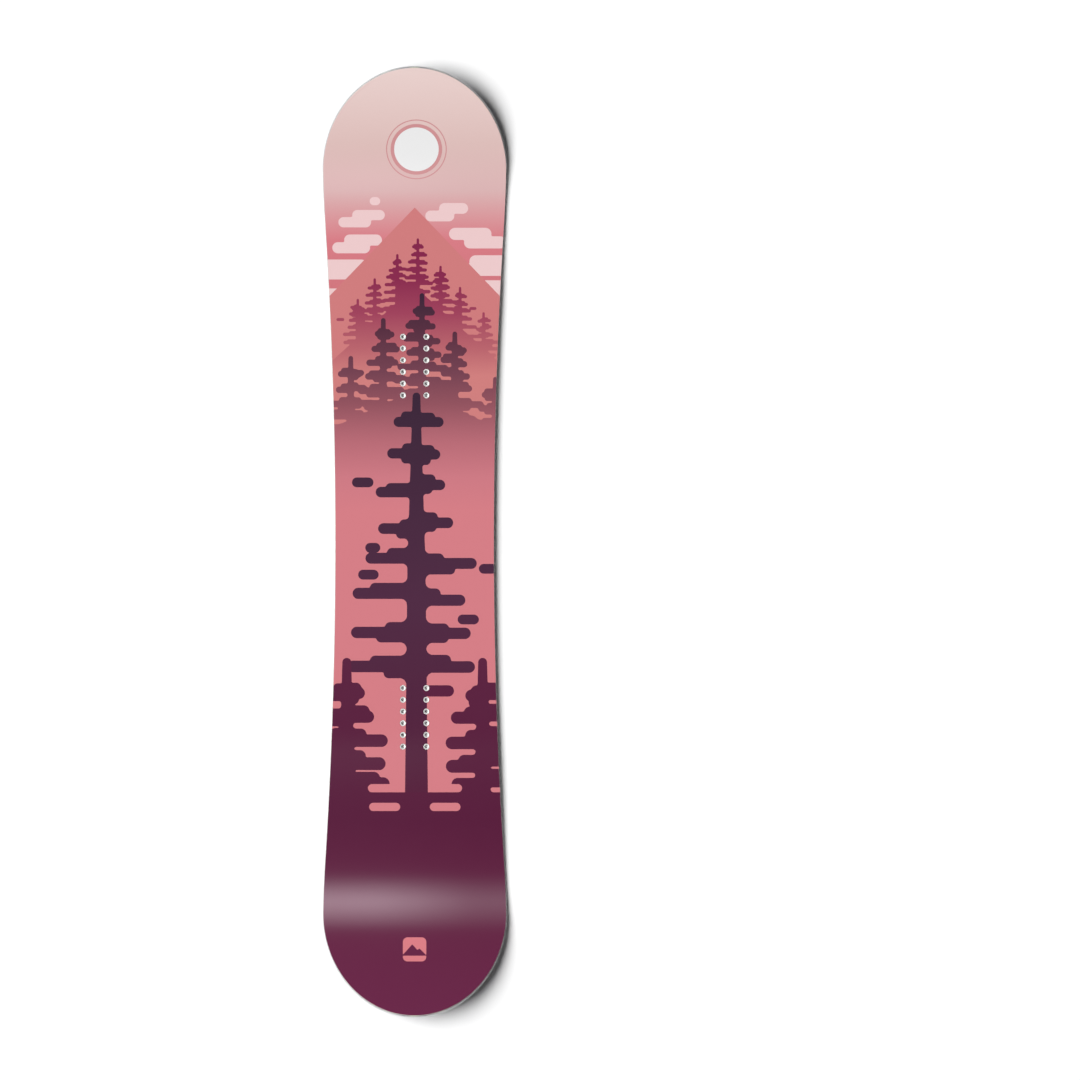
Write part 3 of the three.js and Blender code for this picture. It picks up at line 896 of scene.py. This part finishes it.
def divided_face(inset, holes, layers, plain):
    """The sheet's outline cut up along the print's edges, as (points, triangles, each one's ink)."""
    outline = whole_outline(inset)
    points = [tuple(p) for p in outline]
    edges = loop_edges(len(points), 0)
    for x, s in holes:
        edges += loop_edges(HOLE_SIDES, len(points))
        turns = [math.tau * k / HOLE_SIDES for k in range(HOLE_SIDES)]
        points += [(x + HOLE_RADIUS * math.cos(a), s + HOLE_RADIUS * math.sin(a)) for a in turns]
    lines = [((-w, s), (w, s)) for s, w in cross_lines(inset)]
    for _, field in layers:
        lines += crossings(field)
    for a, b in lines:
        edges.append((len(points), len(points) + 1))
        points += [a, b]
    at, triangles = triangulated(points, edges)
    centres = at[np.array(triangles)].mean(1)
    inks = [plain] * len(triangles)
    for ink, field in layers:
        for n in np.flatnonzero(field_at(field, centres[:, 0], centres[:, 1]) < 0):
            inks[n] = ink
    kept = np.flatnonzero(on_sheet(centres, inset, holes))
    triangles = [triangles[n] for n in kept]
    return at, triangles, without_specks(at, triangles, [inks[n] for n in kept])


def printed_sheet(name, inset, holes, layers, plain, inks, face_height, back_height, replaces):
    """A thin sheet bent over the kicks, its face divided along the print's edges.

    plain is the ink that shows where no layer does. The face is the side at face_height.
    """
    at, face, shown = divided_face(inset, holes, layers, plain)
    used = sorted({v for t in face for v in t})
    number = {v: n for n, v in enumerate(used)}
    face = [tuple(number[v] for v in t) for t in face]
    at = at[used]
    sides = {(a, b) for t in face for a, b in zip(t, t[1:] + t[:1])}
    rim = [(a, b) for a, b in sides if (b, a) not in sides]
    border = sorted({a for a, _ in rim})
    under = {v: n for n, v in enumerate(border)}
    back_edges = [(under[a], under[b]) for a, b in rim]
    back_at, back = triangulated([tuple(at[v]) for v in border], back_edges)
    centres = back_at[np.array(back)].mean(1)
    back = [back[n] for n in np.flatnonzero(on_sheet(centres, inset, holes))]

    vertices = [bend(x, s, face_height(s)) for x, s in at]
    vertices += [bend(x, s, back_height(s)) for x, s in at[border]]
    faces = face + [tuple(len(at) + v for v in t[::-1]) for t in back]
    faces += [(b, a, len(at) + under[a], len(at) + under[b]) for a, b in rim]
    up = 1 if face_height(0) > back_height(0) else -1
    if up < 0:
        faces = [f[::-1] for f in faces]
    names = sorted(set(shown) | {plain})
    slots_of_faces = [names.index(ink) for ink in shown]
    slots_of_faces += [names.index(plain)] * (len(faces) - len(face))
    materials = [inks[ink] for ink in names]
    made = as_object(name, vertices, faces, materials, slots_of_faces, replaces)
    normals = [facing(s, face_height) * up for _, s in at]
    flat = Vector((0, 0, 0))
    loops = [normals[v] if v < len(at) else flat for f in faces[: len(face)] for v in f]
    loops += [flat] * (len(made.data.loops) - len(loops))
    made.data.normals_split_custom_set(loops)
    return made


def swept(profile, sign):
    """The vertices and faces of a strip along the toe side's outline, tail to nose, or the heel side's.

    profile(s) gives [inset, h] points.
    """
    rows = np.vstack([(QUARTER * (1, -1))[:0:-1], QUARTER])
    normals = np.vstack([(INWARD * (1, -1))[:0:-1], INWARD])
    rings = []
    for point, normal in zip(rows, normals):
        ring = []
        for inset, h in profile(point[1]):
            x, s = point + normal * inset
            ring.append(bend(sign * max(END_GAP, x), s, h))
        rings.append(ring)
    return skin(rings)


# ---------------------------------------------------------------- the board's pieces

SIDES = (("toe", 1), ("heel", -1))
PACKS = ("front", "rear")
ROWS = 6


def insert_places():
    """Each insert's CAD node and its centre in mm."""
    for pack in PACKS:
        for side, _ in SIDES:
            for row in range(1, ROWS + 1):
                node = f"insert_{pack}_{side}_{row}"
                low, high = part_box(node)
                yield node, (low + high) / 2 / MM


def topsheet_back(s):
    """Height of the topsheet's glued face."""
    return topsheet_top(s) - TOPSHEET_THICK


def topsheet(inks):
    """The printed topsheet, with a hole for each insert's mouth."""
    holes = [(centre.x, centre.y) for _, centre in insert_places()]
    printed_sheet(
        "printed_topsheet", TOP_INSET, holes, dusk_layers(), "sky_ink", inks,
        topsheet_top, topsheet_back, ["topsheet"],
    )


def base(inks):
    """The printed base, whose face is the running surface."""
    printed_sheet(
        "printed_base", BASE_INSET, [], wind_layers(), "navy_ink", inks,
        lambda s: 0.0, lambda s: BASE_TOP, ["base_sheet"],
    )


def edge_profile(s):
    """The steel edge's cross-section, with its outer corners eased and its anchoring teeth."""
    c = EDGE_EASE
    past = abs(s - TOOTH_PITCH * round(s / TOOTH_PITCH)) - TOOTH_LENGTH / 2
    reach = TOOTH_REACH if past < 0 and abs(s) < TAPER_END else TOOTH_ROOT
    under = EDGE_TOP - TOOTH_THICK
    outside = [(c, 0), (0, c), (0, EDGE_TOP - c), (c, EDGE_TOP)]
    return outside + [(reach, EDGE_TOP), (reach, under), (EDGE_WIDTH, under), (EDGE_WIDTH, 0)]


def steel_edges(steel):
    """Both edges, each from the tail to the nose."""
    for side, sign in SIDES:
        vertices, faces = swept(edge_profile, sign)
        node = f"steel_edge_{side}"
        as_object(f"ground_edge_{side}", vertices, faces, [steel], None, [node])


def sidewall_section(s, sign):
    """A planed sidewall: a bevel that leans in towards the topsheet, with both its corners eased."""
    top, lean = core_top(s), SIDEWALL_BEVEL
    height = top - SIDEWALL_BOTTOM
    inner = half_width(s, SIDEWALL_INSET + SIDEWALL_DEPTH)
    ring = [(inner, SIDEWALL_BOTTOM)]
    for share, ease in ((0, 0.15), (0.04, 0), (0.9, 0), (1, 0.25)):
        outer = half_width(s, SIDEWALL_INSET + lean * share + ease)
        ring.append((outer, SIDEWALL_BOTTOM + height * share))
    ring.append((inner, top))
    return [bend(sign * x, s, h) for x, h in ring]


def sidewalls(plastic):
    """Both sidewalls, as long as the core."""
    stations = np.linspace(-TAPER_END, TAPER_END, SIDEWALL_STATIONS)
    for side, sign in SIDES:
        vertices, faces = skin([sidewall_section(s, sign) for s in stations])
        node = f"sidewall_{side}"
        as_object(f"planed_{node}", vertices, faces, [plastic], None, [node])


def spacer_section(s):
    """The tip plastic right across the board, between the raised laminate and the topsheet's."""
    top = core_top(s)
    ring = []
    for inset, h in ((SIDEWALL_INSET, SIDEWALL_BOTTOM), (SIDEWALL_INSET + SIDEWALL_BEVEL, top)):
        ring.append((half_width(s, inset), h))
    return [bend(x, s, h) for x, h in ring + [(-x, h) for x, h in ring[::-1]]]


def tip_spacers(plastic):
    """The plastic that fills each tip past the core's end."""
    curve = inset_curve(SIDEWALL_INSET + SIDEWALL_BEVEL)
    half = [TAPER_END + JOINT_GAP] + [s for _, s in curve if s > TAPER_END + 2]
    for name, end in (("nose", 1), ("tail", -1)):
        vertices, faces = skin([spacer_section(end * s) for s in half])
        node = f"{name}_spacer"
        as_object(f"planed_{node}", vertices, faces, [plastic], None, [node])


def insert_profile(low, high):
    """An insert's section as (radius, height) points, from under its flange to the floor of its bore."""
    flange, barrel, floor = FLANGE_RADIUS, BARREL_RADIUS, low + 1.2
    profile = [(0, low), (flange - 0.4, low), (flange, low + 0.3), (flange, low + 0.8)]
    profile += [(flange - 0.2, low + 1), (barrel + 0.2, low + 1), (barrel, low + 1.2)]
    profile += [(barrel, high - 0.25), (barrel - 0.25, high), (3.95, high), (3.25, high - 0.55)]
    for n in range(int((high - low - 2.4) / THREAD_PITCH)):
        crest = high - 0.7 - n * THREAD_PITCH
        profile += [(THREAD_CREST, crest), (THREAD_CREST, crest - 0.12)]
        profile += [(THREAD_ROOT, crest - 0.45), (THREAD_ROOT, crest - 0.57)]
    return profile + [(THREAD_CREST, floor + 0.1), (2.6, floor), (0, floor - 0.4)]


def turned(profile, sides):
    """The vertices, in metres, and faces of a profile turned about the axis that both its ends are on."""
    vertices = [Vector((0, 0, profile[0][1])) * MM]
    rings = profile[1:-1]
    for r, z in rings:
        for k in range(sides):
            a = math.tau * k / sides
            vertices.append(Vector((r * math.cos(a), r * math.sin(a), z)) * MM)
    vertices.append(Vector((0, 0, profile[-1][1])) * MM)
    last = len(vertices) - 1
    faces = []
    for k in range(sides):
        after = (k + 1) % sides
        faces.append((0, 1 + after, 1 + k))
        for r in range(len(rings) - 1):
            a, b = 1 + r * sides + k, 1 + r * sides + after
            faces.append((a, b, b + sides, a + sides))
        top = last - sides
        faces.append((top + k, top + after, last))
    return vertices, faces


def insert_mesh(steel, low, high):
    """A flanged barrel with a turned top, a countersunk mouth and a threaded blind bore."""
    vertices, faces = turned(insert_profile(low, high), INSERT_SIDES)
    mesh = bpy.data.meshes.new("insert")
    mesh.from_pydata([tuple(v) for v in vertices], [], faces)
    mesh.materials.append(steel)
    mesh.shade_smooth()
    mesh.set_sharp_from_angle(angle=SHARP_ANGLE)
    return mesh


def inserts(steel):
    """All the inserts, which share one mesh."""
    low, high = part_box("insert_front_toe_1")
    mesh = insert_mesh(steel, low.z / MM, high.z / MM)
    for node, centre in insert_places():
        place = (centre.x * MM, centre.y * MM, 0)
        placed(f"threaded_{node}", mesh, [node], place)


def repaint_core():
    """Procedural finishes for the CAD nodes inside the sandwich."""
    finishes = {
        "glass_laminate": glass_cloth("glass_laminate"),
        "rubber_foil": rubber("foil_rubber"),
        "poplar_wood": wood("poplar", (224, 196, 148), (206, 174, 124)),
        "beech_wood": wood("beech", (196, 152, 108), (172, 126, 84)),
    }
    for part in frame["record"]["subparts"]:
        if part["material_slot"] in finishes:
            mesh = frame["nodes"][part["node"]].data
            mesh.materials.clear()
            mesh.materials.append(finishes[part["material_slot"]])


# ---------------------------------------------------------------- studio


def studio_floor():
    """A wide white floor just under the board."""
    mesh = bpy.data.meshes.new("floor")
    turns = [math.tau * k / FLOOR_SIDES for k in range(FLOOR_SIDES)]
    rim = [(FLOOR_RADIUS * math.cos(a), FLOOR_RADIUS * math.sin(a), 0) for a in turns]
    mesh.from_pydata(rim, [], [range(FLOOR_SIDES)])
    floor = bpy.data.objects.new("floor", mesh)
    floor.location.z = -FLOOR_GAP
    bpy.context.scene.collection.objects.link(floor)
    made, nodes, links, shader = new_material("floor_paint", Roughness=0.9, Specular_IOR_Level=0.0)
    mottled(nodes, links, shader, (0.97, 0.97, 0.97, 1), noise(nodes, links, 3), 0.004)
    mesh.materials.append(made)


def sky():
    """Surroundings that are bright at the horizon and dim overhead, so that shadows stay dark."""
    world = bpy.data.worlds.new("studio")
    bpy.context.scene.world = world
    world.use_nodes = True
    nodes, links = world.node_tree.nodes, world.node_tree.links
    place = nodes.new("ShaderNodeTexCoord")
    split = nodes.new("ShaderNodeSeparateXYZ")
    ramp = nodes.new("ShaderNodeValToRGB")
    low, high = ramp.color_ramp.elements
    dim = (AMBIENT, AMBIENT, AMBIENT, 1)
    low.position, low.color = HORIZON, (1, 1, 1, 1)
    high.position, high.color = OVERHEAD, dim
    links.new(place.outputs["Generated"], split.inputs["Vector"])
    links.new(split.outputs["Z"], ramp.inputs["Fac"])
    mix = nodes.new("ShaderNodeMix")
    mix.data_type = "RGBA"
    mix.inputs["B"].default_value = dim
    path = nodes.new("ShaderNodeLightPath")
    dimming = ranged(nodes, links, path.outputs["Is Glossy Ray"], 0, GLOSS_DIMMING)
    links.new(dimming, mix.inputs["Factor"])
    links.new(ramp.outputs["Color"], mix.inputs["A"])
    links.new(mix.outputs["Result"], nodes["Background"].inputs["Color"])


def lamp(name, kind, place, target, **settings):
    """A lamp at place, in metres, that shines towards target."""
    data = bpy.data.lights.new(name, kind)
    for key, value in settings.items():
        setattr(data, key, value)
    made = bpy.data.objects.new(name, data)
    made.location = place
    made.rotation_euler = (Vector(target) - Vector(place)).to_track_quat("-Z", "Y").to_euler()
    bpy.context.scene.collection.objects.link(made)


def lights():
    """A soft key from the left, and narrow beams that draw a band across each kick."""
    elevation = math.radians(KEY_ELEVATION)
    from_left = (-10 * math.cos(elevation), 0.6, 10 * math.sin(elevation))
    lamp("key", "SUN", from_left, (0, 0, 0), energy=KEY, angle=math.radians(KEY_SPREAD))
    for name, end, power in (("nose_lamp", 1, NOSE_LAMP), ("tail_lamp", -1, TAIL_LAMP)):
        for (left, share), (right, _) in zip(BAND_STEPS, BAND_STEPS[1:]):
            x, width = (left + right) / 2, right - left
            place, target = (x, end * LAMP_PLACE, LAMP_HEIGHT), (x, end * LAMP_TARGET, 0)
            lamp(
                name, "AREA", place, target, color=LAMP_TINT, shape="RECTANGLE",
                energy=power * share * width * LAMP_DEPTH, size=width, size_y=LAMP_DEPTH,
                spread=math.radians(LAMP_SPREAD),
            )


def camera():
    """A long lens straight above the board, which stands left of the frame's middle."""
    data = bpy.data.cameras.new("camera")
    data.lens, data.sensor_width = LENS, SENSOR
    data.clip_end = 100
    made = bpy.data.objects.new("camera", data)
    made.location = (*FRAME_OFFSET, FRAME_WIDTH * LENS / SENSOR + AIM_HEIGHT)
    bpy.context.scene.collection.objects.link(made)
    bpy.context.scene.camera = made


def build():
    """The board, then the studio around it."""
    film = {name: film_ink(name, stops) for name, stops in FILM_STOPS.items()}
    plastic_inks = {name: base_ink(name, colour) for name, colour in BASE_COLOURS.items()}
    plastic = milled_plastic("sidewall_abs", (176, 173, 175))
    topsheet(film)
    base(plastic_inks)
    steel_edges(ground_steel("edge_steel"))
    sidewalls(plastic)
    tip_spacers(plastic)
    inserts(turned_steel("insert_steel"))
    repaint_core()
    studio_floor()
    sky()
    lights()
    camera()
    bpy.context.scene.view_settings.view_transform = "Standard"


build()
